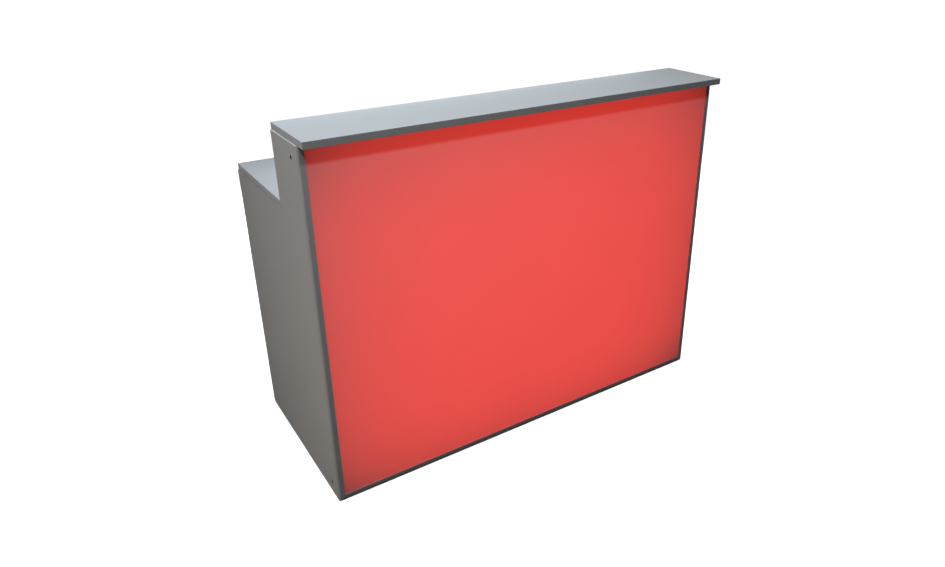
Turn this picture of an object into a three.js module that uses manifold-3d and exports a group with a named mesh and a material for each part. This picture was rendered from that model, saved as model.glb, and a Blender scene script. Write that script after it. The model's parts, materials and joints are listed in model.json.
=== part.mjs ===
// Bar counter with a lit front panel, a raised bar top, a lower worktop and open shelves at the rear.
// Millimetres. X runs to the right seen from the front, Y to the rear and Z up.
// The origin is on the floor, below the middle of the whole counter.
import * as THREE from "three";
import { mergeVertices } from "three/addons/utils/BufferGeometryUtils.js";
import Module from "manifold-3d";

const wasm = await Module();
wasm.setup();

// Carcass
const WIDTH = 1400;
const HEIGHT = 1090;
const BODY_DEPTH = 610;
const BAR_OVERHANG = 40;
const RISER_DEPTH = 193;
const WORKTOP_HEIGHT = 875;
const BOARD = 19;
const TOP_INSET = 3;
const FIT = 0.2;

// Front panel in its grooves
const PANEL_THICKNESS = 5;
const PANEL_PLAY = 0.3;
const GROOVE_LIP = 2;
const GROOVE_DEPTH = 8;
const PANEL_HEAD_GAP = 1;
const LIGHT_TOP_GAP = 3;

// Rails behind the front panel, and the bolts that hold them to the side panels
const RAIL_HEIGHT = 36;
const RAIL_SETBACK = 37;
const BOLT_HEAD_RADIUS = 5;
const BOLT_HEAD_HEIGHT = 4;
const BOLT_SUNK = 0.8;
const BOLT_SHANK_RADIUS = 3.2;
const BOLT_BITE = 38;
const BOLT_TIP = 3;
const HEX_SIDES = 6;
const HEX_RADIUS = 2.4;
const HEX_DEPTH = 2.6;
const BOLT_PLAY = 0.4;

// Shelves and their supports
const SHELF_SEAT_HEIGHT = 430;
const SHELF_SIDE_GAP = 1.5;
const SHELF_FRONT_GAP = 3;
const SHELF_SETBACK = 15;
const DIVIDER_SETBACK = 10;
const SHELF_LIFT = 0.3;
const BATTEN_HEIGHT = 36;
const PIN_RADIUS = 2.5;
const PIN_PLAY = 0.4;
const PIN_END_CLEARANCE = 1.5;
const PIN_COLLAR_RADIUS = 4;
const PIN_COLLAR_WIDTH = 1;
const PIN_TONGUE_LENGTH = 10;
const PIN_TONGUE_WIDTH = 7;
const PIN_TONGUE_THICKNESS = 2;
const PIN_RIB_WIDTH = 2;
const PIN_INSET = 60;
const HOLE_PITCH = 32;
const HOLES_EACH_WAY = 2;

// Glides, dowels and screws
const GLIDE_HEIGHT = 5;
const GLIDE_RADIUS = 9;
const GLIDE_EDGE = 1.5;
const GLIDE_INSET = 60;
const NAIL_RADIUS = 1.5;
const NAIL_LENGTH = 14;
const NAIL_TIP = 3;
const NAIL_PLAY = 0.4;
const DOWEL_RADIUS = 4;
const DOWEL_IN_FACE = 12;
const DOWEL_IN_EDGE = 20;
const DOWEL_CHAMFER = 1;
const DOWEL_PLAY = 0.4;
const DOWEL_INSET = 90;
const BACK_DOWEL_HEIGHT = 560;
const SCREW_HEAD_RADIUS = 4.5;
const SCREW_HEAD_HEIGHT = 3;
const SCREW_SHANK_RADIUS = 2;
const SCREW_BITE = 12;
const SCREW_TIP = 4;
const SCREW_PLAY = 0.4;
const SCREW_INSET = 140;
const SCREW_COUNT = 4;

// Light bars on the front face of the light box back
const LIGHT_ROWS = ["lower", "middle", "upper"];
const LIGHT_END_GAP = 130;
const CHANNEL_HEIGHT = 24;
const CHANNEL_DEPTH = 11;
const CHANNEL_WALL = 1.5;
const STRIP_HEIGHT = 12;
const STRIP_THICKNESS = 1.6;
const STRIP_END_GAP = 3;
const CHIP_SIZE = 5;
const CHIP_HEIGHT = 1.4;
const CHIP_PITCH = 50;

// Driver, controller and wiring inside the light box
const DRIVER_LENGTH = 190;
const DRIVER_DEPTH = 52;
const DRIVER_HEIGHT = 36;
const DRIVER_FROM_SIDE = 300;
const DRIVER_FROM_BACK = 30;
const EAR_LENGTH = 12;
const EAR_THICKNESS = 3;
const EAR_HOLE_RADIUS = 2.2;
const CONTROLLER_LENGTH = 85;
const CONTROLLER_DEPTH = 46;
const CONTROLLER_HEIGHT = 24;
const CONTROLLER_FROM_DRIVER = 70;
const MAINS_WIRE_RADIUS = 3.5;
const LOW_WIRE_RADIUS = 2.5;
const BRANCH_RADIUS = 1.3;
const WIRE_GAP = 0.3;
const WIRE_BEND = 25;
const WIRE_EXIT_HEIGHT = 12;
const TRUNK_FROM_LIGHTS = 24;

// Power entry on the rear of the light box, in the right-hand shelf bay
const ENTRY_FROM_SIDE = 130;
const ENTRY_ABOVE_BASE = 100;
const PLATE_WIDTH = 96;
const PLATE_HEIGHT = 46;
const PLATE_THICKNESS = 2;
const PLATE_LAP = 7;
const PLATE_HOLE_RADIUS = 1.8;
const PLATE_HOLE_INSET = 4;
const SOCKET_OFFSET = -17;
const SOCKET_WIDTH = 28;
const SOCKET_HEIGHT = 20;
const SOCKET_DEPTH = 23;
const SOCKET_WALL = 1.8;
const SOCKET_CORNER = 4;
const SOCKET_RECESS = 16;
const BLADE_LENGTH = 10;
const BLADE_WIDTH = 2;
const BLADE_HEIGHT = 4;
const BLADE_SPACING = 7;
const BLADE_DROP = 2;
const BEZEL_LAP = 2.5;
const BEZEL_THICKNESS = 2;
const SWITCH_OFFSET = 27;
const SWITCH_WALL = 1.2;
const SWITCH_DEPTH = 16;
const ROCKER_WIDTH = 11;
const ROCKER_LENGTH = 15.2;
const ROCKER_FACE = 4.8;
const ROCKER_DISH = 1.8;
const ROCKER_TAPER = 1;
const ROCKER_HEEL = 2.5;
const ROCKER_HEEL_LENGTH = 6;
const ROCKER_TILT = THREE.MathUtils.degToRad(10);
const ROCKER_SUNK = 4;
const ROCKER_PLAY = 0.4;
const TRUNNION_RADIUS = 1.2;
const TRUNNION_LENGTH = 1;

// Facets of round pieces, and how far a cutting tool runs past the face it opens
const ROUND_SIDES = 16;
const HOLE_SIDES = 10;
const WIRE_SIDES = 8;
const WIRE_STEP = 20;
const PAST = 1;

// Planes that pieces share
const OUTER_X = WIDTH / 2;
const INNER_X = OUTER_X - BOARD;
const REAR = (BODY_DEPTH + BAR_OVERHANG) / 2;
const FRONT = REAR - BODY_DEPTH;
const RISER_REAR = FRONT + RISER_DEPTH;
const FOOT = GLIDE_HEIGHT;
const BASE_TOP = FOOT + BOARD;
const BAR_UNDER = HEIGHT - BOARD;
const WORK_UNDER = WORKTOP_HEIGHT - BOARD;
const BOARD_X = INNER_X - FIT;
const TOP_X = OUTER_X - TOP_INSET;

const GROOVE_FRONT = FRONT + GROOVE_LIP;
const GROOVE_REAR = GROOVE_FRONT + PANEL_THICKNESS + 2 * PANEL_PLAY;
const GROOVE_FLOOR = BASE_TOP - GROOVE_DEPTH;

const LIGHT_BACK_FRONT = RISER_REAR - BOARD;
const LIGHT_TOP_FRONT = GROOVE_REAR + LIGHT_TOP_GAP;
const LIGHT_TOP_REAR = LIGHT_BACK_FRONT - FIT;
const LIGHT_TOP_UPPER = BAR_UNDER - FIT;
const LIGHT_TOP_UNDER = LIGHT_TOP_UPPER - BOARD;

const RAIL_FRONT = FRONT + RAIL_SETBACK;
const RAIL_Y = RAIL_FRONT + BOARD / 2;
const LOWER_RAIL_Z = BASE_TOP + FIT + RAIL_HEIGHT / 2;
const UPPER_RAIL_Z = LIGHT_TOP_UNDER - FIT - RAIL_HEIGHT / 2;

const SCREW_Y = (LIGHT_TOP_FRONT + LIGHT_TOP_REAR) / 2;

const LIGHT_X = INNER_X - LIGHT_END_GAP;
const STRIP_X = LIGHT_X - STRIP_END_GAP;
const CHANNEL_BACK = LIGHT_BACK_FRONT - FIT;
const STRIP_BACK = CHANNEL_BACK - CHANNEL_WALL - FIT;
const STRIP_FACE = STRIP_BACK - STRIP_THICKNESS;

const GEAR_Y = LIGHT_BACK_FRONT - DRIVER_FROM_BACK - DRIVER_DEPTH / 2;
const DRIVER_RIGHT = INNER_X - DRIVER_FROM_SIDE;
const DRIVER_LEFT = DRIVER_RIGHT - DRIVER_LENGTH;
const CONTROLLER_RIGHT = DRIVER_LEFT - CONTROLLER_FROM_DRIVER;
const CONTROLLER_LEFT = CONTROLLER_RIGHT - CONTROLLER_LENGTH;
const GEAR_FLOOR = BASE_TOP + FIT;

const ENTRY_X = INNER_X - ENTRY_FROM_SIDE;
const ENTRY_Z = BASE_TOP + ENTRY_ABOVE_BASE;

const DIVIDER_X = BOARD / 2;
const PIN_Z = SHELF_SEAT_HEIGHT - PIN_RADIUS;
const PIN_ROWS = { front: RISER_REAR + PIN_INSET, rear: REAR - PIN_INSET };
const GLIDE_ROWS = { front: FRONT + GLIDE_INSET, rear: REAR - GLIDE_INSET };
const WORK_DOWEL_ROWS = { front: RISER_REAR + DOWEL_INSET, rear: REAR - DOWEL_INSET };
const SIDES = { left: -1, right: 1 };

const melamine = finish(0x8c8e90, 0.45, 0);
const opal = finish(0xe8412f, 0.15, 0);
const zinc = finish(0x6e7072, 0.4, 1);
const blackSteel = finish(0x232426, 0.5, 1);
const aluminium = finish(0xb9bcc0, 0.35, 1);
const beech = finish(0xc8a878, 0.7, 0);
const blackPlastic = finish(0x1b1b1c, 0.5, 0);
const whitePlastic = finish(0xe6e6e2, 0.5, 0);
const redPlastic = finish(0xb3201c, 0.3, 0);

const counter = new THREE.Group();

function finish(color, roughness, metalness) {
  return new THREE.MeshStandardMaterial({ color, roughness, metalness });
}

// A box between a low and a high bound on each axis
function box(x, y, z) {
  const bounds = [x, y, z];
  const size = bounds.map(([low, high]) => high - low);
  const middle = bounds.map(([low, high]) => (low + high) / 2);
  return new THREE.BoxGeometry(...size).translate(...middle);
}

// A round bar from one point to another
function rod(radius, start, end, sides = HOLE_SIDES) {
  const from = new THREE.Vector3(...start);
  const to = new THREE.Vector3(...end);
  const along = to.clone().sub(from);
  const turn = new THREE.Quaternion().setFromUnitVectors(
    new THREE.Vector3(0, 1, 0),
    along.clone().normalize(),
  );
  const middle = from.add(to).multiplyScalar(0.5);
  return new THREE.CylinderGeometry(radius, radius, along.length(), sides)
    .applyQuaternion(turn)
    .translate(middle.x, middle.y, middle.z);
}

// A turned piece along +Z from [radius, height] points that start and end on the axis
function turned(profile, sides = ROUND_SIDES) {
  const points = profile.map(([radius, height]) => new THREE.Vector2(radius, height));
  return new THREE.LatheGeometry(points, sides).rotateX(Math.PI / 2);
}

// An outline in the Y and Z plane, drawn out along X
function slab(outline, x) {
  const shape = new THREE.Shape(outline.map(([y, z]) => new THREE.Vector2(y, z)));
  const sideways = new THREE.Matrix4().makeBasis(
    new THREE.Vector3(0, 1, 0),
    new THREE.Vector3(0, 0, 1),
    new THREE.Vector3(1, 0, 0),
  );
  return new THREE.ExtrudeGeometry(shape, { depth: x[1] - x[0], bevelEnabled: false })
    .applyMatrix4(sideways)
    .translate(x[0], 0, 0);
}

// A round wire that runs straight between the given points and bends at each corner
function wire(radius, points) {
  const corners = points.map((point) => new THREE.Vector3(...point));
  const towards = (from, to) => to.clone().sub(from).setLength(WIRE_BEND).add(from);
  const route = new THREE.CurvePath();
  let from = corners[0];
  for (let i = 1; i < corners.length - 1; i++) {
    const before = towards(corners[i], corners[i - 1]);
    const after = towards(corners[i], corners[i + 1]);
    route.add(new THREE.LineCurve3(from, before));
    route.add(new THREE.QuadraticBezierCurve3(before, corners[i], after));
    from = after;
  }
  route.add(new THREE.LineCurve3(from, corners.at(-1)));
  const section = new THREE.Shape();
  section.absarc(0, 0, radius, 0, 2 * Math.PI);
  return new THREE.ExtrudeGeometry(section, {
    extrudePath: route,
    steps: Math.ceil(route.getLength() / WIRE_STEP),
    curveSegments: WIRE_SIDES / 2,
    bevelEnabled: false,
  });
}

function toSolid(geometry) {
  const bare = geometry.clone();
  bare.deleteAttribute("normal");
  bare.deleteAttribute("uv");
  const merged = mergeVertices(bare);
  return new wasm.Manifold(
    new wasm.Mesh({
      numProp: 3,
      vertProperties: merged.attributes.position.array,
      triVerts: new Uint32Array(merged.index.array),
    }),
  );
}

function toGeometry(solid) {
  const { vertProperties, triVerts } = solid.getMesh();
  const geometry = new THREE.BufferGeometry();
  geometry.setAttribute("position", new THREE.BufferAttribute(vertProperties, 3));
  geometry.setIndex(new THREE.BufferAttribute(triVerts, 1));
  geometry.computeVertexNormals();
  return geometry;
}

function cut(geometry, tools) {
  return toGeometry(tools.reduce((solid, tool) => solid.subtract(toSolid(tool)), toSolid(geometry)));
}

function join(geometries) {
  return toGeometry(geometries.map(toSolid).reduce((whole, solid) => whole.add(solid)));
}

// A piece modelled in its parent's frame, stored about its own middle
function add(name, material, geometry, parent = counter) {
  geometry.computeBoundingBox();
  const middle = geometry.boundingBox.getCenter(new THREE.Vector3());
  geometry.translate(-middle.x, -middle.y, -middle.z);
  const mesh = new THREE.Mesh(geometry, material);
  mesh.name = name;
  mesh.position.copy(middle);
  parent.add(mesh);
}

// A copy of a piece modelled in its own frame
function place(name, material, geometry, position, rotation = [0, 0, 0]) {
  const mesh = new THREE.Mesh(geometry, material);
  mesh.name = name;
  mesh.position.set(...position);
  mesh.rotation.set(...rotation);
  counter.add(mesh);
}

// The bounds between two distances from the middle, on the left or the right
function across(side, near, far) {
  return side > 0 ? [near, far] : [-far, -near];
}

// Heights of the shelf pin holes, with the pins' own holes in the middle
function pinHoleHeights() {
  const count = 2 * HOLES_EACH_WAY + 1;
  return Array.from({ length: count }, (_, i) => PIN_Z + (i - HOLES_EACH_WAY) * HOLE_PITCH);
}

// Holes for shelf pins from one plane to another
function pinHoles(fromX, toX) {
  return Object.values(PIN_ROWS).flatMap((y) =>
    pinHoleHeights().map((z) => rod(PIN_RADIUS + PIN_PLAY, [fromX, y, z], [toX, y, z])),
  );
}

// A hole for the face half or the edge half of a dowel
function dowelHole(start, end) {
  return rod(DOWEL_RADIUS + DOWEL_PLAY, start, end);
}

// Stepped side panel, with the groove for the front panel and the holes for its fixings
function addSidePanel(name, side) {
  const blank = slab(
    [
      [FRONT, FOOT],
      [REAR, FOOT],
      [REAR, WORK_UNDER - FIT],
      [RISER_REAR, WORK_UNDER - FIT],
      [RISER_REAR, BAR_UNDER - FIT],
      [FRONT, BAR_UNDER - FIT],
    ],
    across(side, INNER_X, OUTER_X),
  );
  const inside = side * (INNER_X - PAST);
  const outside = side * (OUTER_X + PAST);
  const middle = side * (OUTER_X - BOARD / 2);
  const groove = box(
    across(side, INNER_X - PAST, INNER_X + GROOVE_DEPTH),
    [GROOVE_FRONT, GROOVE_REAR],
    [GROOVE_FLOOR - FIT, BAR_UNDER + PAST],
  );
  const boltHoles = [LOWER_RAIL_Z, UPPER_RAIL_Z].flatMap((z) => [
    rod(BOLT_SHANK_RADIUS + BOLT_PLAY, [inside, RAIL_Y, z], [outside, RAIL_Y, z]),
    rod(
      BOLT_HEAD_RADIUS + BOLT_PLAY,
      [side * (OUTER_X - BOLT_SUNK - BOLT_HEAD_HEIGHT - BOLT_PLAY), RAIL_Y, z],
      [outside, RAIL_Y, z],
      ROUND_SIDES,
    ),
  ]);
  const nailHoles = Object.values(GLIDE_ROWS).map((y) =>
    rod(NAIL_RADIUS + NAIL_PLAY, [middle, y, FOOT - PAST], [middle, y, FOOT + NAIL_LENGTH + NAIL_PLAY]),
  );
  const workDowelHoles = Object.values(WORK_DOWEL_ROWS).map((y) =>
    dowelHole([middle, y, WORK_UNDER - DOWEL_IN_EDGE - DOWEL_PLAY], [middle, y, WORK_UNDER + PAST]),
  );
  const carcassDowelHoles = carcassDowels().map(({ y, z }) =>
    dowelHole([inside, y, z], [side * (INNER_X + DOWEL_IN_FACE + DOWEL_PLAY), y, z]),
  );
  const shelfHoles = pinHoles(inside, side * (INNER_X + BOARD / 2));
  const dowelHoles = [...workDowelHoles, ...carcassDowelHoles];
  add(name, melamine, cut(blank, [groove, ...boltHoles, ...nailHoles, ...dowelHoles, ...shelfHoles]));
}

// Where a dowel joins the base and the light box back to each side panel
function carcassDowels() {
  return [
    { board: "base", y: REAR - DOWEL_INSET, z: (FOOT + BASE_TOP) / 2 },
    { board: "back", y: (LIGHT_BACK_FRONT + RISER_REAR) / 2, z: BACK_DOWEL_HEIGHT },
  ];
}

// Holes in both ends of the base or the light box back for its dowels
function boardEndHoles(board) {
  const { y, z } = carcassDowels().find((dowel) => dowel.board === board);
  return Object.values(SIDES).map((side) =>
    dowelHole([side * (INNER_X - DOWEL_IN_EDGE - DOWEL_PLAY), y, z], [side * (INNER_X + PAST), y, z]),
  );
}

function barScrewPlaces() {
  const reach = INNER_X - SCREW_INSET;
  return Array.from({ length: SCREW_COUNT }, (_, i) => reach * ((2 * i) / (SCREW_COUNT - 1) - 1));
}

function addBarTop() {
  const blank = box([-TOP_X, TOP_X], [FRONT - BAR_OVERHANG, RISER_REAR], [BAR_UNDER, HEIGHT]);
  const groove = box(
    [-INNER_X - GROOVE_DEPTH, INNER_X + GROOVE_DEPTH],
    [GROOVE_FRONT, GROOVE_REAR],
    [BAR_UNDER - PAST, BAR_UNDER + GROOVE_DEPTH],
  );
  const screwHoles = barScrewPlaces().map((x) =>
    rod(
      SCREW_SHANK_RADIUS + SCREW_PLAY,
      [x, SCREW_Y, BAR_UNDER - PAST],
      [x, SCREW_Y, BAR_UNDER + SCREW_BITE + SCREW_PLAY],
    ),
  );
  add("bar_top", melamine, cut(blank, [groove, ...screwHoles]));
}

function addWorktop() {
  const blank = box([-TOP_X, TOP_X], [RISER_REAR + FIT, REAR], [WORK_UNDER, WORKTOP_HEIGHT]);
  const dowelHoles = Object.values(SIDES).flatMap((side) =>
    Object.values(WORK_DOWEL_ROWS).map((y) => {
      const x = side * (OUTER_X - BOARD / 2);
      return dowelHole([x, y, WORK_UNDER - PAST], [x, y, WORK_UNDER + DOWEL_IN_FACE + DOWEL_PLAY]);
    }),
  );
  add("worktop", melamine, cut(blank, dowelHoles));
}

function addBasePanel() {
  const blank = box([-BOARD_X, BOARD_X], [FRONT, REAR], [FOOT, BASE_TOP]);
  const groove = box(
    [-INNER_X, INNER_X],
    [GROOVE_FRONT, GROOVE_REAR],
    [GROOVE_FLOOR, BASE_TOP + PAST],
  );
  const nailHoles = Object.values(GLIDE_ROWS).map((y) =>
    rod(NAIL_RADIUS + NAIL_PLAY, [0, y, FOOT - PAST], [0, y, FOOT + NAIL_LENGTH + NAIL_PLAY]),
  );
  add("base_panel", melamine, cut(blank, [groove, ...nailHoles, ...boardEndHoles("base")]));
}

// The wall between the light box and the shelves, which also closes the rear of the riser
function addLightBoxBack() {
  const blank = box(
    [-BOARD_X, BOARD_X],
    [LIGHT_BACK_FRONT, RISER_REAR],
    [BASE_TOP + FIT, BAR_UNDER - FIT],
  );
  const entry = box(
    [ENTRY_X - PLATE_WIDTH / 2 + PLATE_LAP, ENTRY_X + PLATE_WIDTH / 2 - PLATE_LAP],
    [LIGHT_BACK_FRONT - PAST, RISER_REAR + PAST],
    [ENTRY_Z - PLATE_HEIGHT / 2 + PLATE_LAP, ENTRY_Z + PLATE_HEIGHT / 2 - PLATE_LAP],
  );
  add("light_box_back", melamine, cut(blank, [entry, ...boardEndHoles("back")]));
}

function addLightBoxTop() {
  const blank = box(
    [-BOARD_X, BOARD_X],
    [LIGHT_TOP_FRONT, LIGHT_TOP_REAR],
    [LIGHT_TOP_UNDER, LIGHT_TOP_UPPER],
  );
  const screwHoles = barScrewPlaces().flatMap((x) => [
    rod(
      SCREW_SHANK_RADIUS + SCREW_PLAY,
      [x, SCREW_Y, LIGHT_TOP_UNDER - PAST],
      [x, SCREW_Y, LIGHT_TOP_UPPER + PAST],
    ),
    rod(
      SCREW_HEAD_RADIUS + SCREW_PLAY,
      [x, SCREW_Y, LIGHT_TOP_UNDER - PAST],
      [x, SCREW_Y, LIGHT_TOP_UNDER + SCREW_HEAD_HEIGHT + 2 * SCREW_PLAY],
      ROUND_SIDES,
    ),
  ]);
  add("light_box_top", melamine, cut(blank, screwHoles));
}

function addDivider() {
  const blank = box(
    [-DIVIDER_X, DIVIDER_X],
    [RISER_REAR + FIT, REAR - DIVIDER_SETBACK],
    [BASE_TOP + FIT, WORK_UNDER - FIT],
  );
  add("centre_divider", melamine, cut(blank, pinHoles(-DIVIDER_X - PAST, DIVIDER_X + PAST)));
}

function addShelf(name, side) {
  const seat = SHELF_SEAT_HEIGHT + SHELF_LIFT;
  const shelf = box(
    across(side, DIVIDER_X + SHELF_SIDE_GAP, INNER_X - SHELF_SIDE_GAP),
    [RISER_REAR + SHELF_FRONT_GAP, REAR - SHELF_SETBACK],
    [seat, seat + BOARD],
  );
  add(name, melamine, shelf);
}

// Ledge on the light box back that carries the worktop's front edge
function addBatten(name, side) {
  const batten = box(
    across(side, DIVIDER_X + FIT, BOARD_X),
    [RISER_REAR + FIT, RISER_REAR + FIT + BOARD],
    [WORK_UNDER - FIT - BATTEN_HEIGHT, WORK_UNDER - FIT],
  );
  add(name, melamine, batten);
}

// Translucent panel that slides down the side grooves before the bar top closes them
function addFrontPanel() {
  const panel = box(
    [-INNER_X - GROOVE_DEPTH + FIT, INNER_X + GROOVE_DEPTH - FIT],
    [GROOVE_FRONT + PANEL_PLAY, GROOVE_REAR - PANEL_PLAY],
    [GROOVE_FLOOR + FIT, BAR_UNDER + GROOVE_DEPTH - PANEL_HEAD_GAP],
  );
  add("front_panel", opal, panel);
}

function addFrontRail(name, z) {
  const blank = box(
    [-BOARD_X, BOARD_X],
    [RAIL_FRONT, RAIL_FRONT + BOARD],
    [z - RAIL_HEIGHT / 2, z + RAIL_HEIGHT / 2],
  );
  const boltHoles = Object.values(SIDES).map((side) =>
    rod(
      BOLT_SHANK_RADIUS + BOLT_PLAY,
      [side * (INNER_X - BOLT_BITE - BOLT_PLAY), RAIL_Y, z],
      [side * (INNER_X + PAST), RAIL_Y, z],
    ),
  );
  add(name, melamine, cut(blank, boltHoles));
}

// Bolts with a hex socket, sunk into the side panels and biting into the ends of the rails
function addBolts() {
  const length = BOARD - BOLT_SUNK + BOLT_BITE;
  const body = turned([
    [0, 0],
    [BOLT_HEAD_RADIUS, 0],
    [BOLT_HEAD_RADIUS, BOLT_HEAD_HEIGHT],
    [BOLT_SHANK_RADIUS, BOLT_HEAD_HEIGHT],
    [BOLT_SHANK_RADIUS, length - BOLT_TIP],
    [0, length],
  ]);
  const socket = rod(HEX_RADIUS, [0, 0, -PAST], [0, 0, HEX_DEPTH], HEX_SIDES);
  const bolt = cut(body, [socket]);
  for (const [sideName, side] of Object.entries(SIDES)) {
    for (const [rowName, z] of Object.entries({ lower: LOWER_RAIL_Z, upper: UPPER_RAIL_Z })) {
      const head = [side * (OUTER_X - BOLT_SUNK), RAIL_Y, z];
      place(`${sideName}_${rowName}_bolt`, blackSteel, bolt, head, [0, (-side * Math.PI) / 2, 0]);
    }
  }
}

// Nail-on glides under the side panels and under the middle of the base
function addGlides() {
  const top = GLIDE_HEIGHT - FIT;
  const glide = turned([
    [0, 0],
    [GLIDE_RADIUS - GLIDE_EDGE, 0],
    [GLIDE_RADIUS, GLIDE_EDGE],
    [GLIDE_RADIUS, top],
    [NAIL_RADIUS, top],
    [NAIL_RADIUS, GLIDE_HEIGHT + NAIL_LENGTH - NAIL_TIP],
    [0, GLIDE_HEIGHT + NAIL_LENGTH],
  ]);
  const columns = { left: -OUTER_X + BOARD / 2, centre: 0, right: OUTER_X - BOARD / 2 };
  for (const [columnName, x] of Object.entries(columns)) {
    for (const [rowName, y] of Object.entries(GLIDE_ROWS)) {
      place(`${columnName}_${rowName}_glide`, blackPlastic, glide, [x, y, 0]);
    }
  }
}

// Shelf supports: a plug for the hole, a collar, and a flat tongue under the shelf
function addShelfPins() {
  const plugLength = BOARD / 2 - PIN_END_CLEARANCE;
  const collarEnd = FIT + PIN_COLLAR_WIDTH;
  const tongue = [collarEnd - FIT, collarEnd + PIN_TONGUE_LENGTH];
  const pin = join([
    rod(PIN_RADIUS, [-plugLength, 0, 0], [collarEnd, 0, 0], ROUND_SIDES),
    rod(PIN_COLLAR_RADIUS, [FIT, 0, 0], [collarEnd, 0, 0], ROUND_SIDES),
    box(
      tongue,
      [-PIN_TONGUE_WIDTH / 2, PIN_TONGUE_WIDTH / 2],
      [PIN_RADIUS - PIN_TONGUE_THICKNESS, PIN_RADIUS],
    ),
    box(tongue, [-PIN_RIB_WIDTH / 2, PIN_RIB_WIDTH / 2], [-PIN_RADIUS, PIN_RADIUS]),
  ]);
  for (const [sideName, side] of Object.entries(SIDES)) {
    for (const [rowName, y] of Object.entries(PIN_ROWS)) {
      const outer = [side * INNER_X, y, PIN_Z];
      const inner = [side * DIVIDER_X, y, PIN_Z];
      place(`${sideName}_shelf_pin_outer_${rowName}`, zinc, pin, outer, [0, 0, side > 0 ? Math.PI : 0]);
      place(`${sideName}_shelf_pin_inner_${rowName}`, zinc, pin, inner, [0, 0, side > 0 ? 0 : Math.PI]);
    }
  }
}

// Dowels stand from the joint plane: the face half is above it and the edge half is below
function addDowels() {
  const waist = DOWEL_RADIUS - DOWEL_CHAMFER;
  const dowel = turned([
    [0, -DOWEL_IN_EDGE],
    [waist, -DOWEL_IN_EDGE],
    [DOWEL_RADIUS, -DOWEL_IN_EDGE + DOWEL_CHAMFER],
    [DOWEL_RADIUS, DOWEL_IN_FACE - DOWEL_CHAMFER],
    [waist, DOWEL_IN_FACE],
    [0, DOWEL_IN_FACE],
  ]);
  for (const [sideName, side] of Object.entries(SIDES)) {
    for (const [rowName, y] of Object.entries(WORK_DOWEL_ROWS)) {
      const seat = [side * (OUTER_X - BOARD / 2), y, WORK_UNDER];
      place(`${sideName}_worktop_dowel_${rowName}`, beech, dowel, seat);
    }
    for (const { board, y, z } of carcassDowels()) {
      const turn = [0, (side * Math.PI) / 2, 0];
      place(`${sideName}_${board}_dowel`, beech, dowel, [side * INNER_X, y, z], turn);
    }
  }
}

// Countersunk screws that draw the bar top down onto the light box top
function addBarScrews() {
  const length = BOARD + SCREW_BITE;
  const screw = turned([
    [0, 0],
    [SCREW_HEAD_RADIUS, 0],
    [SCREW_SHANK_RADIUS, SCREW_HEAD_HEIGHT],
    [SCREW_SHANK_RADIUS, length - SCREW_TIP],
    [0, length],
  ]);
  barScrewPlaces().forEach((x, i) => {
    place(`bar_top_screw_${i + 1}`, zinc, screw, [x, SCREW_Y, LIGHT_TOP_UNDER + SCREW_PLAY]);
  });
}

function lightRowHeight(row) {
  const room = LIGHT_TOP_UNDER - BASE_TOP;
  return BASE_TOP + ((row + 0.5) / LIGHT_ROWS.length) * room;
}

// A light bar: an aluminium channel open to the front, and a strip of chips on its floor
function addLightBar(rowName, row) {
  const z = lightRowHeight(row);
  const half = CHANNEL_HEIGHT / 2;
  const mouth = CHANNEL_BACK - CHANNEL_DEPTH;
  const floor = CHANNEL_BACK - CHANNEL_WALL;
  const channel = slab(
    [
      [CHANNEL_BACK, z - half],
      [CHANNEL_BACK, z + half],
      [mouth, z + half],
      [mouth, z + half - CHANNEL_WALL],
      [floor, z + half - CHANNEL_WALL],
      [floor, z - half + CHANNEL_WALL],
      [mouth, z - half + CHANNEL_WALL],
      [mouth, z - half],
    ],
    [-LIGHT_X, LIGHT_X],
  );
  add(`light_channel_${rowName}`, aluminium, channel);

  const chipCount = Math.floor((2 * STRIP_X) / CHIP_PITCH);
  const chips = Array.from({ length: chipCount }, (_, i) => {
    const x = (i - (chipCount - 1) / 2) * CHIP_PITCH;
    return box(
      [x - CHIP_SIZE / 2, x + CHIP_SIZE / 2],
      [STRIP_FACE - CHIP_HEIGHT, STRIP_FACE + STRIP_THICKNESS / 2],
      [z - CHIP_SIZE / 2, z + CHIP_SIZE / 2],
    );
  });
  const tape = box(
    [-STRIP_X, STRIP_X],
    [STRIP_FACE, STRIP_BACK],
    [z - STRIP_HEIGHT / 2, z + STRIP_HEIGHT / 2],
  );
  add(`light_strip_${rowName}`, whitePlastic, join([tape, ...chips]));
}

// A case with a screw ear at each end, standing on the base inside the light box
function addCase(name, material, right, length, depth, height) {
  const left = right - length;
  const spanY = [GEAR_Y - depth / 2, GEAR_Y + depth / 2];
  const earTop = GEAR_FLOOR + EAR_THICKNESS;
  const body = box([left, right], spanY, [GEAR_FLOOR, GEAR_FLOOR + height]);
  const plate = box([left - EAR_LENGTH, right + EAR_LENGTH], spanY, [GEAR_FLOOR, earTop]);
  const holes = [left - EAR_LENGTH / 2, right + EAR_LENGTH / 2].map((x) =>
    rod(EAR_HOLE_RADIUS, [x, GEAR_Y, GEAR_FLOOR - PAST], [x, GEAR_Y, GEAR_FLOOR + EAR_THICKNESS + PAST]),
  );
  add(name, material, cut(join([body, plate]), holes));
}

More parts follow.
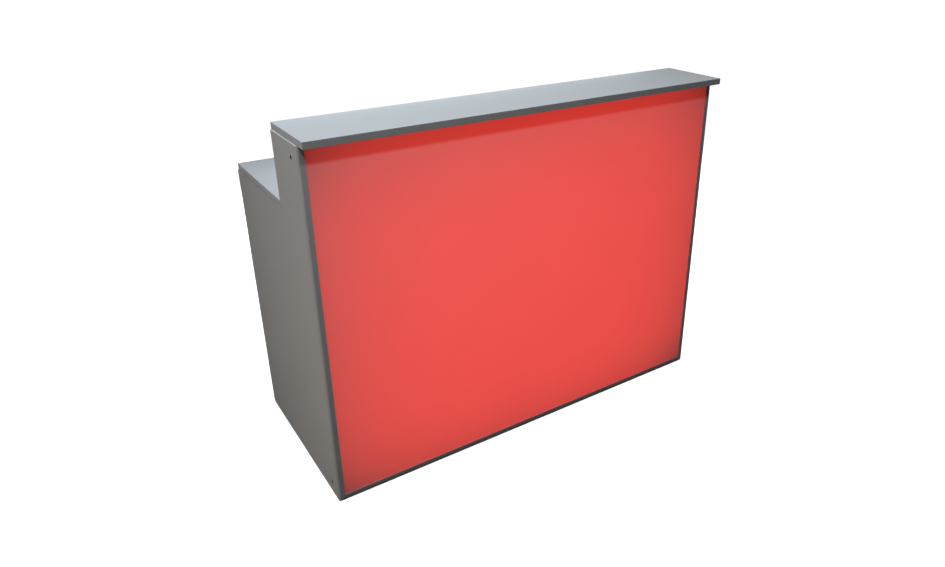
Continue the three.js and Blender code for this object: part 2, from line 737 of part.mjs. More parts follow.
// Wires run from the socket to the driver, on to the controller, and up to the light bars
function addWiring() {
  const exitZ = GEAR_FLOOR + WIRE_EXIT_HEIGHT;
  const socketX = ENTRY_X + SOCKET_OFFSET;
  const mains = wire(MAINS_WIRE_RADIUS, [
    [socketX, RISER_REAR - SOCKET_DEPTH - WIRE_GAP, ENTRY_Z],
    [socketX, GEAR_Y, ENTRY_Z],
    [socketX, GEAR_Y, exitZ],
    [DRIVER_RIGHT + WIRE_GAP, GEAR_Y, exitZ],
  ]);
  add("mains_wire", blackPlastic, mains);

  const driverLead = wire(LOW_WIRE_RADIUS, [
    [DRIVER_LEFT - WIRE_GAP, GEAR_Y, exitZ],
    [CONTROLLER_RIGHT + WIRE_GAP, GEAR_Y, exitZ],
  ]);
  add("driver_wire", blackPlastic, driverLead);

  const trunkX = -LIGHT_X - TRUNK_FROM_LIGHTS;
  const trunkY = LIGHT_BACK_FRONT - LOW_WIRE_RADIUS - FIT;
  const topZ = lightRowHeight(LIGHT_ROWS.length - 1);
  const trunk = wire(LOW_WIRE_RADIUS, [
    [CONTROLLER_LEFT - WIRE_GAP, GEAR_Y, exitZ],
    [trunkX, GEAR_Y, exitZ],
    [trunkX, trunkY, exitZ],
    [trunkX, trunkY, topZ + LOW_WIRE_RADIUS],
  ]);
  const branchY = STRIP_BACK - BRANCH_RADIUS;
  const branches = LIGHT_ROWS.map((_, row) => {
    const z = lightRowHeight(row);
    return rod(BRANCH_RADIUS, [trunkX, branchY, z], [-STRIP_X - WIRE_GAP, branchY, z]);
  });
  add("light_wire", blackPlastic, join([trunk, ...branches]));
}

// Power entry, in its own frame: X to the right seen from the front, Y out of the board, Z up
function addPowerEntry() {
  const entry = new THREE.Group();
  entry.position.set(ENTRY_X, RISER_REAR, ENTRY_Z);
  counter.add(entry);

  const plateFace = FIT + PLATE_THICKNESS;
  const bezelBack = plateFace + FIT;
  const bezelFace = bezelBack + BEZEL_THICKNESS;
  const around = (middle, width) => [middle - width / 2, middle + width / 2];

  const socketX = around(SOCKET_OFFSET, SOCKET_WIDTH);
  const socketZ = around(0, SOCKET_HEIGHT);
  const pocketHalf = ROCKER_LENGTH / 2 + ROCKER_FACE * Math.sin(ROCKER_TILT) + ROCKER_PLAY;
  const pocketWidth = ROCKER_WIDTH + 2 * ROCKER_PLAY;
  const switchX = around(SWITCH_OFFSET, pocketWidth + 2 * SWITCH_WALL);
  const switchZ = around(0, 2 * (pocketHalf + SWITCH_WALL));
  const wider = ([low, high], by) => [low - by, high + by];

  const holes = [-1, 1].flatMap((sideX) =>
    [-1, 1].map((sideZ) => {
      const x = sideX * (PLATE_WIDTH / 2 - PLATE_HOLE_INSET);
      const z = sideZ * (PLATE_HEIGHT / 2 - PLATE_HOLE_INSET);
      return rod(PLATE_HOLE_RADIUS, [x, -PAST, z], [x, plateFace + PAST, z]);
    }),
  );
  const through = [-PAST, plateFace + PAST];
  const plate = cut(box(around(0, PLATE_WIDTH), [FIT, plateFace], around(0, PLATE_HEIGHT)), [
    box(wider(socketX, FIT), through, wider(socketZ, FIT)),
    box(wider(switchX, FIT), through, wider(switchZ, FIT)),
    ...holes,
  ]);
  add("entry_plate", aluminium, plate, entry);

  addSocket(entry, socketX, socketZ, bezelBack, bezelFace, wider);
  addSwitch(entry, switchX, switchZ, bezelBack, bezelFace, wider);
}

// Appliance inlet: a shrouded recess with two clipped corners and three contact blades
function addSocket(entry, socketX, socketZ, bezelBack, bezelFace, wider) {
  const [left, right] = wider(socketX, -SOCKET_WALL);
  const [low, high] = wider(socketZ, -SOCKET_WALL);
  const recess = new THREE.Shape(
    [
      [left, low],
      [right, low],
      [right, high - SOCKET_CORNER],
      [right - SOCKET_CORNER, high],
      [left + SOCKET_CORNER, high],
      [left, high - SOCKET_CORNER],
    ].map(([x, z]) => new THREE.Vector2(x, z)),
  );
  const recessFloor = bezelFace - SOCKET_RECESS;
  const pocket = new THREE.ExtrudeGeometry(recess, { depth: SOCKET_RECESS + PAST, bevelEnabled: false })
    .rotateX(Math.PI / 2)
    .translate(0, bezelFace + PAST, 0);
  const shell = join([
    box(socketX, [-SOCKET_DEPTH, bezelFace], socketZ),
    box(wider(socketX, BEZEL_LAP), [bezelBack, bezelFace], wider(socketZ, BEZEL_LAP)),
  ]);
  const blades = [-1, 0, 1].map((order) => {
    const x = SOCKET_OFFSET + order * BLADE_SPACING;
    const z = order === 0 ? BLADE_DROP : -BLADE_DROP;
    return box(
      [x - BLADE_WIDTH / 2, x + BLADE_WIDTH / 2],
      [recessFloor - PAST, recessFloor + BLADE_LENGTH],
      [z - BLADE_HEIGHT / 2, z + BLADE_HEIGHT / 2],
    );
  });
  add("power_inlet", blackPlastic, join([cut(shell, [pocket]), ...blades]), entry);
}

// Switch housing with a pocket for the rocker, and the rocker on its two trunnions
function addSwitch(entry, switchX, switchZ, bezelBack, bezelFace, wider) {
  const pivotY = bezelFace - ROCKER_SUNK;
  const pocketX = wider(switchX, -SWITCH_WALL);
  const pocketZ = wider(switchZ, -SWITCH_WALL);
  const pocketFloor = pivotY - ROCKER_HEEL - ROCKER_HEEL_LENGTH / 2;
  const housing = cut(
    join([
      box(switchX, [-SWITCH_DEPTH, bezelFace], switchZ),
      box(wider(switchX, BEZEL_LAP), [bezelBack, bezelFace], wider(switchZ, BEZEL_LAP)),
    ]),
    [
      box(pocketX, [pocketFloor, bezelFace + PAST], pocketZ),
      rod(
        TRUNNION_RADIUS + ROCKER_PLAY,
        [switchX[0] - PAST, pivotY, 0],
        [switchX[1] + PAST, pivotY, 0],
      ),
    ],
  );
  add("switch_housing", blackPlastic, housing, entry);

  const half = ROCKER_LENGTH / 2;
  const heel = ROCKER_HEEL_LENGTH / 2;
  const halfWidth = ROCKER_WIDTH / 2;
  const rocker = join([
    slab(
      [
        [ROCKER_FACE, -half],
        [ROCKER_FACE - ROCKER_DISH, 0],
        [ROCKER_FACE, half],
        [ROCKER_DISH, half - ROCKER_TAPER],
        [-ROCKER_HEEL, heel],
        [-ROCKER_HEEL, -heel],
        [ROCKER_DISH, -half + ROCKER_TAPER],
      ],
      [-halfWidth, halfWidth],
    ),
    rod(TRUNNION_RADIUS, [-halfWidth - TRUNNION_LENGTH, 0, 0], [halfWidth + TRUNNION_LENGTH, 0, 0]),
  ]);
  const pivot = new THREE.Group();
  pivot.position.set(SWITCH_OFFSET, pivotY, 0);
  pivot.rotation.x = ROCKER_TILT;
  entry.add(pivot);
  add("rocker_switch", redPlastic, rocker, pivot);
}

for (const [sideName, side] of Object.entries(SIDES)) {
  addSidePanel(`${sideName}_side_panel`, side);
  addShelf(`${sideName}_shelf`, side);
  addBatten(`${sideName}_worktop_batten`, side);
}
addBarTop();
addWorktop();
addBasePanel();
addLightBoxBack();
addLightBoxTop();
addDivider();
addFrontPanel();
addFrontRail("lower_front_rail", LOWER_RAIL_Z);
addFrontRail("upper_front_rail", UPPER_RAIL_Z);
addBolts();
addGlides();
addShelfPins();
addDowels();
addBarScrews();
LIGHT_ROWS.forEach(addLightBar);
addCase("light_driver", aluminium, DRIVER_RIGHT, DRIVER_LENGTH, DRIVER_DEPTH, DRIVER_HEIGHT);
addCase(
  "colour_controller",
  whitePlastic,
  CONTROLLER_RIGHT,
  CONTROLLER_LENGTH,
  CONTROLLER_DEPTH,
  CONTROLLER_HEIGHT,
);
addWiring();
addPowerEntry();

export default counter;
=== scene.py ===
"""Looks of the bar counter: finishes, eased edges, small fittings, floor, light and camera."""
import json
import math

import bmesh
import bpy
from mathutils import Euler, Matrix, Vector

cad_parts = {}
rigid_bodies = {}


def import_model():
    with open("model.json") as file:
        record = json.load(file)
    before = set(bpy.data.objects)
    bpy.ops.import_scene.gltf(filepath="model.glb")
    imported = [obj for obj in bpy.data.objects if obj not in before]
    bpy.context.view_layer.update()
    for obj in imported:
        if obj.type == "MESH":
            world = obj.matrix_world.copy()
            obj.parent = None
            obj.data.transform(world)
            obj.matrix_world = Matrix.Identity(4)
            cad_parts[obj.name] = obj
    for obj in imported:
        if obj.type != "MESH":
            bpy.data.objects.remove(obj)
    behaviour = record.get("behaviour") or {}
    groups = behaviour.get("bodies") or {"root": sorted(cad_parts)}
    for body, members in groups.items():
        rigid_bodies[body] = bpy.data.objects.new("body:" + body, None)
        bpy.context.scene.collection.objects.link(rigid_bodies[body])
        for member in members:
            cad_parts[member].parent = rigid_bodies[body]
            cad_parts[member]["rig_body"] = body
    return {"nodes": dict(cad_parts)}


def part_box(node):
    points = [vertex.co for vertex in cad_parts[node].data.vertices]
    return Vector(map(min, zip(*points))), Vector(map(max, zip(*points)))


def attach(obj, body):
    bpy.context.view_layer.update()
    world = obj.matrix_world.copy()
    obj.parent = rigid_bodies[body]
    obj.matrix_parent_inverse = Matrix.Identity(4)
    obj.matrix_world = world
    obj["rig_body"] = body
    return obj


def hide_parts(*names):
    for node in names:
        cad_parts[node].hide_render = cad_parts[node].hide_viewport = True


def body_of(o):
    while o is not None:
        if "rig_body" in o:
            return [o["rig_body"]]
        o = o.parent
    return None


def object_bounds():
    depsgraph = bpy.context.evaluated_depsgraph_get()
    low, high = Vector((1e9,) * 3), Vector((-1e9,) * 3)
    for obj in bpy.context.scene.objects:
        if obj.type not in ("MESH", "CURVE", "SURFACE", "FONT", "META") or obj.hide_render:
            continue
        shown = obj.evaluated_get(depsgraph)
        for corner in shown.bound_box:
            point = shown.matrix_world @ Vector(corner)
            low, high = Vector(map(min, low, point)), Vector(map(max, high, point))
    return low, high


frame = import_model()
cad_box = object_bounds()
nodes = frame["nodes"]

# All lengths are in metres.
MM = 0.001


# Node trees

# Most values of a noise lie between these two.
NOISE_LOW = 0.3
NOISE_HIGH = 0.7

# Places of the colour sockets on a Mix node, after those for numbers and vectors.
MIX_SHARE = 0
MIX_FIRST = 6
MIX_SECOND = 7
MIX_RESULT = 2


class Graph:
    """Adds nodes to one node tree."""

    def __init__(self, tree):
        self.tree = tree

    def new(self, kind, inputs, **settings):
        """A node with these settings, each of its inputs linked to a socket or set to a value."""
        node = self.tree.nodes.new(f"ShaderNode{kind}")
        for setting, choice in settings.items():
            setattr(node, setting, choice)
        for key, value in inputs.items():
            if isinstance(value, bpy.types.NodeSocket):
                self.tree.links.new(value, node.inputs[key])
            else:
                node.inputs[key].default_value = value
        return node

    def math(self, operation, first, second=0.0):
        return self.new("Math", {0: first, 1: second}, operation=operation).outputs[0]

    def total(self, first, *others):
        for other in others:
            first = self.math("ADD", first, other)
        return first

    def axes(self, vector):
        return self.new("SeparateXYZ", {"Vector": vector}).outputs

    def spread(self, value, low=0.0, high=1.0, start=NOISE_LOW, end=NOISE_HIGH):
        """Maps the range from start to end onto the range from low to high."""
        inputs = {"Value": value, "From Min": start, "From Max": end, "To Min": low, "To Max": high}
        return self.new("MapRange", inputs).outputs["Result"]

    def seen_directly(self):
        """1 for rays that show the background: from the camera, from a reflection or through glass."""
        path = self.new("LightPath", {}).outputs
        plain = self.math("MAXIMUM", path["Is Camera Ray"], path["Is Glossy Ray"])
        return self.math("MAXIMUM", plain, path["Is Transmission Ray"])


class Finish(Graph):
    """One procedural material: a Principled shader and the nodes that feed it."""

    def __init__(self, name, **constants):
        self.material = bpy.data.materials.new(name)
        self.material.use_nodes = True
        super().__init__(self.material.node_tree)
        self.shader = self.tree.nodes["Principled BSDF"]
        for socket, value in constants.items():
            self.shader.inputs[socket.replace("_", " ")].default_value = value
        coords = self.new("TexCoord", {}).outputs
        self.place = coords["Object"]
        self.normal = coords["Normal"]

    def noise(self, scale, detail, stretch=(1, 1, 1)):
        """Noise in the piece's own frame, drawn out along the axes that stretch shortens."""
        scaled = self.new("VectorMath", {0: self.place, 1: stretch}, operation="MULTIPLY")
        inputs = {"Vector": scaled.outputs["Vector"], "Scale": scale, "Detail": detail}
        return self.new("TexNoise", inputs).outputs["Fac"]

    def mix(self, share, first, second):
        inputs = {MIX_SHARE: share, MIX_FIRST: first, MIX_SECOND: second}
        return self.new("Mix", inputs, data_type="RGBA").outputs[MIX_RESULT]

    def tint(self, base, factor):
        inputs = {"Vector": base, "Scale": factor}
        return self.new("VectorMath", inputs, operation="SCALE").outputs["Vector"]

    def feed(self, socket, value):
        self.tree.links.new(value, self.shader.inputs[socket])

    def bump(self, height, depth, strength):
        node = self.new("Bump", {"Height": height, "Distance": depth, "Strength": strength})
        self.feed("Normal", node.outputs["Normal"])


def colour(red, green, blue):
    return (red, green, blue, 1.0)


def shades(base, dark, light):
    """A darker and a lighter shade of one colour."""
    return [colour(*(channel * factor for channel in base)) for factor in (dark, light)]


# Silver-grey melamine board

GREY = (0.435, 0.440, 0.445)
SPECKLES_PER_M = 620
SMUDGES_PER_M = 2.6
PEARLS_PER_M = 1500
PEARL_DEPTH = 0.03 * MM
FACE_MIN_NORMAL = 0.6

# Lines in the edge band run along the board. Its dark and light shades are factors of the grey, and they
# are painted light: a painted highlight on the edges of upright boards, painted shade on the edges of the
# others.
BAND_STRETCH = 0.06
UPRIGHT_BAND_PAINTED_HIGHLIGHT = (1.08, 1.16)
LEVEL_BAND_PAINTED_SHADE = (0.86, 0.92)

# Upper edges of the side panels: a thin line of them shows beside the tops that lie on them.
CHIPBOARD = (0.66, 0.63, 0.58)
CHIPS_PER_M = 350
# This painted shade darkens the upper edges under the worktop.
UNDER_WORKTOP_PAINTED_SHADE = 0.58
UPPER_MIN_NORMAL = 0.75
RAW_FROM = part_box("worktop")[1].z


def upper_edges(finish, band_with_painted_light):
    """The edge band, but raw chipboard under the bar top and painted shade under the worktop."""
    grain = finish.spread(finish.noise(CHIPS_PER_M, detail=3))
    chips = finish.mix(grain, *shades(CHIPBOARD, dark=0.86, light=1.1))
    is_upper = finish.math("GREATER_THAN", finish.axes(finish.normal)[2], UPPER_MIN_NORMAL)
    is_raw = finish.math("GREATER_THAN", finish.axes(finish.place)[2], RAW_FROM)
    # Painted shade on the upward edges under the worktop; raw chipboard under the bar top.
    covered = finish.mix(is_raw, finish.tint(band_with_painted_light, UNDER_WORKTOP_PAINTED_SHADE), chips)
    return finish.mix(is_upper, band_with_painted_light, covered)


def melamine(name, thickness_axis, band_painted_light, gloss, covered=False):
    """A fine pearl speckle and faint handling marks on the faces, and a smoother band on the edges, painted
    lighter on upright boards and darker on the others to stand for light and shade.
    """
    finish = Finish(name, Specular_IOR_Level=gloss)
    speckle = finish.noise(SPECKLES_PER_M, detail=3)
    smudge = finish.noise(SMUDGES_PER_M, detail=5)
    face = finish.mix(finish.spread(speckle), *shades(GREY, dark=0.955, light=1.045))
    face = finish.tint(face, finish.spread(smudge, low=0.975, high=1.02))
    stretch = [1 if axis == thickness_axis else BAND_STRETCH for axis in range(3)]
    lines = finish.noise(SPECKLES_PER_M, detail=1, stretch=stretch)
    # The edge band's shades are painted light: a painted highlight on upright boards, painted shade on the
    # others.
    band_with_painted_light = finish.mix(finish.spread(lines), *shades(GREY, *band_painted_light))
    if covered:
        band_with_painted_light = upper_edges(finish, band_with_painted_light)
    across = finish.axes(finish.normal)[thickness_axis]
    is_face = finish.math("GREATER_THAN", finish.math("ABSOLUTE", across), FACE_MIN_NORMAL)
    finish.feed("Base Color", finish.mix(is_face, band_with_painted_light, face))
    rubbed = finish.spread(smudge, low=-0.05, high=0.05)
    pearly = finish.spread(speckle, low=-0.03, high=0.03)
    plain = finish.spread(is_face, low=0.48, high=0.56, start=0, end=1)
    finish.feed("Roughness", finish.total(rubbed, pearly, plain))
    finish.bump(finish.noise(PEARLS_PER_M, detail=2), PEARL_DEPTH, strength=0.5)
    return finish.material


# Lit opal panel

OPAL = (0.325, 0.318, 0.335)
HAZE_PER_M = 900
HAZE_DEPTH = 0.01 * MM
RUBS_PER_M = 4
GLOW = (0.82, 0.037, 0.023)
CLOUDS_PER_M = 5

# The share of the glow that is lost at an edge, and the distance in which the loss dies away.
WALL_FADE = (0.34, 0.147)
FLOOR_FADE = (0.28, 0.103)
TOP_FADE = (0.37, 0.130)
CORNER_LOSS = 0.19
TOP_CORNER_SHARE = 0.6


def glow_level(finish, lowest, highest):
    """The glow of the panel, which weakens towards the walls of the light box and most in its corners."""
    x, _, z = finish.axes(finish.place)
    edges = {
        "left": (finish.math("SUBTRACT", x, lowest.x), WALL_FADE),
        "right": (finish.math("SUBTRACT", highest.x, x), WALL_FADE),
        "bottom": (finish.math("SUBTRACT", z, lowest.z), FLOOR_FADE),
        "top": (finish.math("SUBTRACT", highest.z, z), TOP_FADE),
    }
    glow = finish.spread(finish.noise(CLOUDS_PER_M, detail=3), low=0.985, high=1.015)
    near = {}
    for edge, (distance, (loss, reach)) in edges.items():
        near[edge] = finish.math("EXPONENT", finish.math("DIVIDE", distance, -reach))
        glow = finish.math("SUBTRACT", glow, finish.math("MULTIPLY", near[edge], loss))
    sides = finish.math("ADD", near["left"], near["right"])
    ends = finish.math("ADD", near["bottom"], finish.math("MULTIPLY", near["top"], TOP_CORNER_SHARE))
    corner = finish.math("MULTIPLY", sides, ends)
    return finish.math("SUBTRACT", glow, finish.math("MULTIPLY", corner, CORNER_LOSS))


def opal(name, lowest, highest):
    """Satin opal acrylic, lit red from inside."""
    finish = Finish(name, Specular_IOR_Level=0.03, Emission_Strength=1.0)
    finish.feed("Emission Color", finish.tint(GLOW, glow_level(finish, lowest, highest)))
    haze = finish.noise(HAZE_PER_M, detail=2)
    finish.feed("Base Color", finish.mix(finish.spread(haze), *shades(OPAL, dark=0.97, light=1.03)))
    finish.feed("Roughness", finish.spread(finish.noise(RUBS_PER_M, detail=4), low=0.30, high=0.40))
    finish.bump(haze, HAZE_DEPTH, strength=0.4)
    return finish.material


# Metal, plastic and wood

BRUSHES_PER_M = 900
BRUSH_DEPTH = 0.02 * MM
BLOOM_PER_M = 60
GRAINS_PER_M = 1400
GRAIN_DEPTH = 0.04 * MM
FLOWS_PER_M = 25
FIBRES_PER_M = 500
FIBRE_DEPTH = 0.05 * MM
FLECKS_PER_M = 1800


def metal(name, base, roughness, brush):
    """Bare metal with fine brush lines along the axes that brush shortens."""
    finish = Finish(name, Metallic=1.0)
    lines = finish.noise(BRUSHES_PER_M, detail=2, stretch=brush)
    bloom = finish.noise(BLOOM_PER_M, detail=4)
    plate = finish.mix(finish.spread(lines), *shades(base, dark=0.90, light=1.06))
    finish.feed("Base Color", finish.tint(plate, finish.spread(bloom, low=0.93, high=1.03)))
    dull = finish.spread(bloom, low=-0.06, high=0.06)
    scuffed = finish.spread(lines, low=-0.05, high=0.05)
    finish.feed("Roughness", finish.total(dull, scuffed, roughness))
    finish.bump(lines, BRUSH_DEPTH, strength=0.5)
    return finish.material


def plastic(name, base, roughness, gloss=0.45):
    """Moulded plastic, or a thick paint, with a fine grain."""
    finish = Finish(name, Specular_IOR_Level=gloss)
    grain = finish.noise(GRAINS_PER_M, detail=2)
    flow = finish.noise(FLOWS_PER_M, detail=4)
    skin = finish.mix(finish.spread(grain), *shades(base, dark=0.93, light=1.07))
    finish.feed("Base Color", finish.tint(skin, finish.spread(flow, low=0.96, high=1.04)))
    finish.feed("Roughness", finish.total(finish.spread(flow, low=-0.05, high=0.05), roughness))
    finish.bump(grain, GRAIN_DEPTH, strength=0.6)
    return finish.material


def beech_wood(name, base):
    """Plain beech with fine grain along X and short dark flecks."""
    finish = Finish(name, Specular_IOR_Level=0.4)
    grain = finish.noise(FIBRES_PER_M, detail=4, stretch=(0.06, 1, 1))
    fleck = finish.noise(FLECKS_PER_M, detail=1, stretch=(0.15, 1, 1))
    wood = finish.mix(finish.spread(grain), *shades(base, dark=0.82, light=1.08))
    finish.feed("Base Color", finish.tint(wood, finish.spread(fleck, low=0.90, high=1.03)))
    finish.feed("Roughness", finish.spread(grain, low=0.55, high=0.70))
    finish.bump(grain, FIBRE_DEPTH, strength=0.6)
    return finish.material


# Finishes of the solids, with the boards in the order of the axis across their thickness

boards = [
    # Upright boards get a painted highlight on their edges, back and level boards get painted shade.
    melamine("grey_melamine_upright_painted_highlight", 0, UPRIGHT_BAND_PAINTED_HIGHLIGHT, gloss=0.02, covered=True),
    melamine("grey_melamine_back_painted_shade", 1, LEVEL_BAND_PAINTED_SHADE, gloss=0.03),
    melamine("grey_melamine_level_painted_shade", 2, LEVEL_BAND_PAINTED_SHADE, gloss=0.03),
]
finishes = {
    "opal_panel": opal("opal_panel_lit", *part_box("front_panel")),
    "black_steel": plastic("black_steel_painted", (0.012, 0.012, 0.013), roughness=0.55, gloss=0.04),
    "zinc_steel": metal("zinc_steel_fine", (0.50, 0.51, 0.53), roughness=0.36, brush=(1, 1, 1)),
    "aluminium": metal("aluminium_brushed", (0.72, 0.73, 0.75), roughness=0.34, brush=(0.03, 1, 1)),
    "beech": beech_wood("beech_plain", (0.66, 0.49, 0.31)),
    "black_plastic": plastic("black_plastic_grained", (0.028, 0.028, 0.031), roughness=0.46),
    "white_plastic": plastic("white_plastic_grained", (0.78, 0.78, 0.76), roughness=0.40),
    "red_plastic": plastic("red_plastic_gloss", (0.48, 0.030, 0.028), roughness=0.24),
}


def dress(piece, material):
    piece.data.materials.clear()
    piece.data.materials.append(material)


for node_name, piece in nodes.items():
    slot = piece.data.materials[0].name.split(".")[0]
    if slot == "grey_melamine":
        low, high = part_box(node_name)
        size = list(high - low)
        dress(piece, boards[size.index(min(size))])
    else:
        dress(piece, finishes[slot])


# Meshes

WELD_REACH = 0.002 * MM


def show(name, data):
    """Puts a mesh, lamp or camera in the scene as an object."""
    holder = bpy.data.objects.new(name, data)
    bpy.context.scene.collection.objects.link(holder)
    return holder


def keep_mesh(name, builder):
    """Ends a mesh under construction as an object in the scene."""
    mesh = bpy.data.meshes.new(name)
    bmesh.ops.recalc_face_normals(builder, faces=builder.faces)
    builder.to_mesh(mesh)
    builder.free()
    return show(name, mesh)


def combined(piece, other, operation):
    """Gives the piece the result of a solid operation with another object, which is used up."""
    weld = piece.modifiers.new("weld", "WELD")
    weld.merge_threshold = WELD_REACH
    solid = piece.modifiers.new("solid", "BOOLEAN")
    solid.operation = operation
    solid.object = other
    solid.solver = "EXACT"
    solid.use_self = True
    shape = piece.evaluated_get(bpy.context.evaluated_depsgraph_get())
    mesh = bpy.data.meshes.new_from_object(shape)
    piece.modifiers.clear()
    piece.data = mesh
    bpy.data.objects.remove(other)
    return piece


def on_circle(radius, sides):
    """Points on a circle about the origin."""
    turns = [2 * math.pi * side / sides for side in range(sides)]
    return [(radius * math.cos(turn), radius * math.sin(turn)) for turn in turns]


def join_rings(builder, ring, following):
    """Closes the strip between two rings of vertices."""
    for side in range(len(ring)):
        after = (side + 1) % len(ring)
        builder.faces.new((ring[side], ring[after], following[after], following[side]))


# Boards with eased edges

INNER_BOARDS = (
    "centre_divider",
    "left_shelf",
    "right_shelf",
    "left_worktop_batten",
    "right_worktop_batten",
)
SIDE_FRONT_EASE = 6.5 * MM
SIDE_EASE = 0.9 * MM
TOP_EASE = 1.2 * MM
INNER_EASE = 0.8 * MM
LIP_DROP = 6.5 * MM
EASE_STEPS = 4
SHARP_DEG = 40
HULL_SPARE = 0.02 * MM


def round_edges(builder, edges, ease):
    bmesh.ops.bevel(builder, geom=edges, offset=ease, segments=EASE_STEPS, profile=0.5, affect="EDGES")


def stands_at(edge, x, y):
    """Whether an edge stands upright at this place."""
    return all(abs(vertex.co.x - x) + abs(vertex.co.y - y) < HULL_SPARE for vertex in edge.verts)


def eased_hull(outline, span, ease, front_ease):
    """A prism on a flat outline in Y and Z, across a span in X, with all its edges rounded.
    The upright edge at its front, on the side away from the middle, may be rounded more."""
    builder = bmesh.new()
    ends = [[builder.verts.new((x, y, z)) for y, z in outline] for x in span]
    for end in ends:
        builder.faces.new(end)
    join_rings(builder, *ends)
    bmesh.ops.recalc_face_normals(builder, faces=builder.faces)
    if front_ease:
        front = min(y for y, z in outline)
        outer = max(span, key=abs)
        corners = [edge for edge in builder.edges if stands_at(edge, outer, front)]
        round_edges(builder, corners, front_ease)
    sharp = [edge for edge in builder.edges if edge.calc_face_angle() > math.radians(SHARP_DEG)]
    round_edges(builder, sharp, ease)
    return keep_mesh("eased_hull", builder)


def box_outline(low, high):
    return [(low.y, low.z), (high.y, low.z), (high.y, high.z), (low.y, high.z)]


def step_outline(low, high):
    """A side panel: full height at the riser, and up to the worktop's underside behind it."""
    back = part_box("light_box_back")[1].y + HULL_SPARE
    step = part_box("worktop")[0].z + HULL_SPARE
    return [
        (low.y, low.z),
        (high.y, low.z),
        (high.y, step),
        (back, step),
        (back, high.z),
        (low.y, high.z),
    ]


def lip_outline(low, high):
    """The base panel: its lip in front of the lit panel is low and leaves most of the panel's foot open."""
    panel_low, panel_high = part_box("front_panel")
    inside = (panel_low.y + panel_high.y) / 2
    lip = high.z - LIP_DROP
    return [
        (low.y, low.z),
        (high.y, low.z),
        (high.y, high.z),
        (inside, high.z),
        (inside, lip),
        (low.y, lip),
    ]


def ease_board(node_name, outline, ease, front_ease=0):
    """Replaces a board's solid by the same solid with its outer edges rounded."""
    spare = Vector([HULL_SPARE] * 3)
    low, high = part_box(node_name)
    low, high = low - spare, high + spare
    source = nodes[node_name]
    piece = show(f"{node_name}_eased", source.data.copy())
    combined(piece, eased_hull(outline(low, high), (low.x, high.x), ease, front_ease), "INTERSECT")
    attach(piece, body_of(source)[0])
    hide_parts(node_name)


for board in ("left_side_panel", "right_side_panel"):
    ease_board(board, step_outline, SIDE_EASE, SIDE_FRONT_EASE)
for board in ("bar_top", "worktop"):
    ease_board(board, box_outline, TOP_EASE)
ease_board("base_panel", lip_outline, INNER_EASE)
for board in INNER_BOARDS:
    ease_board(board, box_outline, INNER_EASE)


# Trim rings around the side bolts

RING_INNER = 3.6 * MM
RING_OUTER = 5.9 * MM
RING_FOOT = 5.3 * MM
RING_PROUD = 0.3 * MM
RING_SUNK = 0.75 * MM
RING_ROUND = 0.25 * MM
RING_SIDES = 48


def turned_ring(name, profile):
    """A closed profile of radius and height turned about the X axis."""
    builder = bmesh.new()
    rings = []
    for radius, height in profile:
        rings.append([builder.verts.new((height, y, z)) for y, z in on_circle(radius, RING_SIDES)])
    for ring, following in zip(rings, [*rings[1:], rings[0]]):
        join_rings(builder, ring, following)
    return keep_mesh(name, builder)


def bolt_rings():
    """A black ring presses into the hole over each bolt's head and leaves its hex socket open."""
    profile = [
        (RING_INNER, -RING_SUNK),
        (RING_INNER, RING_PROUD - RING_ROUND),
        (RING_INNER + RING_ROUND, RING_PROUD),
        (RING_OUTER - RING_ROUND, RING_PROUD),
        (RING_OUTER, RING_PROUD - RING_ROUND),
        (RING_OUTER, 0),
        (RING_FOOT, 0),
        (RING_FOOT, -RING_SUNK),
    ]
    face = cad_box[1].x
    for bolt in [name for name in nodes if name.endswith("_bolt")]:
        low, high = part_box(bolt)
        middle = (low + high) / 2
        ring = turned_ring(f"{bolt}_ring", profile)
        if middle.x < 0:
            ring.data.transform(Matrix.Rotation(math.pi, 4, "Z"))
        ring.data.transform(Matrix.Translation((math.copysign(face, middle.x), middle.y, middle.z)))
        dress(ring, finishes["black_steel"])
        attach(ring, "counter")


bolt_rings()


# Screws of the power entry plate

SCREW_INSET = 4 * MM
SCREW_RADIUS = 3.2 * MM
SCREW_DOME = 1.5 * MM
SCREW_RIM = 0.5 * MM
SCREW_SIDES = 32
SCREW_RINGS = 6
SCREW_SUNK = 0.3 * MM
SCREW_TURN_RAD = 0.7
RECESS_LENGTH = 3.4 * MM
RECESS_WIDTH = 0.8 * MM
RECESS_DEPTH = 1.0 * MM
RECESS_TAPER = 0.6


def screw_dome(name):
    """A domed screw head with a short straight rim, facing +Y, closed at its foot."""
    profile = [(SCREW_RADIUS, -SCREW_SUNK)]
    for step in range(SCREW_RINGS):
        angle = 0.5 * math.pi * step / SCREW_RINGS
        height = SCREW_RIM + (SCREW_DOME - SCREW_RIM) * math.sin(angle)
        profile.append((SCREW_RADIUS * math.cos(angle), height))
    builder = bmesh.new()
    rings = []
    for radius, height in profile:
        rings.append([builder.verts.new((x, height, z)) for x, z in on_circle(radius, SCREW_SIDES)])
    for ring, following in zip(rings, rings[1:]):
        join_rings(builder, ring, following)
    builder.faces.new(rings[0])
    builder.faces.new(rings[-1])
    return keep_mesh(name, builder)


def cross_cutter(name):
    """Two crossed blades that taper towards their tip, for the recess of a cross-head screw."""
    builder = bmesh.new()
    for length, width in ((RECESS_LENGTH, RECESS_WIDTH), (RECESS_WIDTH, RECESS_LENGTH)):
        blade = bmesh.ops.create_cube(builder, size=1.0)["verts"]
        for vertex in blade:
            is_outer = vertex.co.y > 0
            taper = 1.0 if is_outer else RECESS_TAPER
            height = 2 * SCREW_DOME if is_outer else SCREW_DOME - RECESS_DEPTH
            vertex.co = (vertex.co.x * length * taper, height, vertex.co.z * width * taper)
    return keep_mesh(name, builder)


